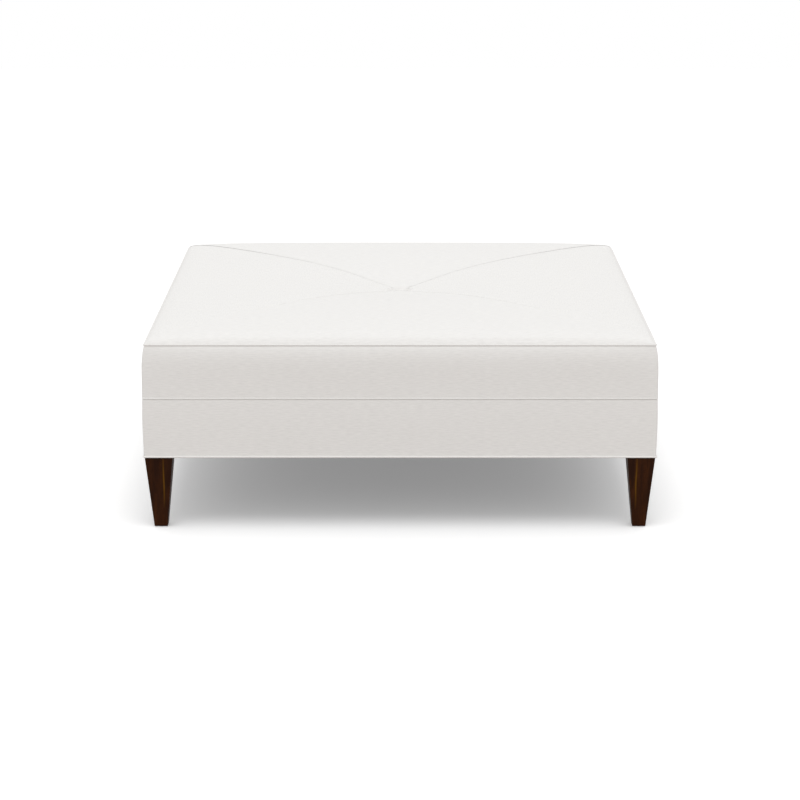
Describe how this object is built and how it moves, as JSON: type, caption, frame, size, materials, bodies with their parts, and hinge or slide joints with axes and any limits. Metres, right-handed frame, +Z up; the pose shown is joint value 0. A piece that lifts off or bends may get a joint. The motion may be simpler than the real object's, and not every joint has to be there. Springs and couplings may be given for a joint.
{
  "type": "ottoman",
  "caption": "Square upholstered ottoman: crowned cushion with diagonal seams and a tufted button, piped boxing and base band, and tapered wooden legs.",
  "frame": {"origin": "centre of the plan, on the floor under the glides", "axes": "+Z up, +X to the right and -Y towards the viewer of the picture"},
  "size_m": [1.2204, 1.2204, 0.4826],
  "materials": {
    "cover": "matte",
    "walnut": "satin",
    "timber": "matte",
    "steel": "satin",
    "glide_plastic": "matte",
    "washer_plastic": "matte",
    "wadding": "matte",
    "foam": "matte",
    "jute": "matte",
    "twine": "matte",
    "cardboard": "matte",
    "dust_cloth": "matte"
  },
  "bodies": {
    "root": {"leg_front_left": "walnut", "leg_front_right": "walnut", "leg_back_left": "walnut", "leg_back_right": "walnut", "glide_front_left": "glide_plastic", "glide_front_right": "glide_plastic", "glide_back_left": "glide_plastic", "glide_back_right": "glide_plastic", "hanger_bolts": "steel", "threaded_inserts": "steel", "corner_block_front_left": "timber", "corner_block_front_right": "timber", "corner_block_back_left": "timber", "corner_block_back_right": "timber", "corner_block_screws": "steel", "rail_front": "timber", "rail_back": "timber", "rail_left": "timber", "rail_right": "timber", "cross_rail": "timber", "rail_dowels": "timber", "webbing_side_to_side": "jute", "webbing_front_to_back": "jute", "hessian": "jute", "foam_core": "foam", "crown_pad": "wadding", "cushion_wadding": "wadding", "base_wadding": "wadding", "boxing_front": "cover", "boxing_back": "cover", "boxing_left": "cover", "boxing_right": "cover", "base_band_front": "cover", "base_band_back": "cover", "base_band_left": "cover", "base_band_right": "cover", "top_panel_front": "cover", "top_panel_back": "cover", "top_panel_left": "cover", "top_panel_right": "cover", "top_piping": "cover", "middle_piping": "cover", "bottom_piping": "cover", "tack_strips": "cardboard", "button_cap": "cover", "button_back": "steel", "tuft_twine": "twine", "tuft_washer": "washer_plastic", "dust_cover": "dust_cloth", "dust_cover_staples": "steel"}
  },
  "joints": []
}
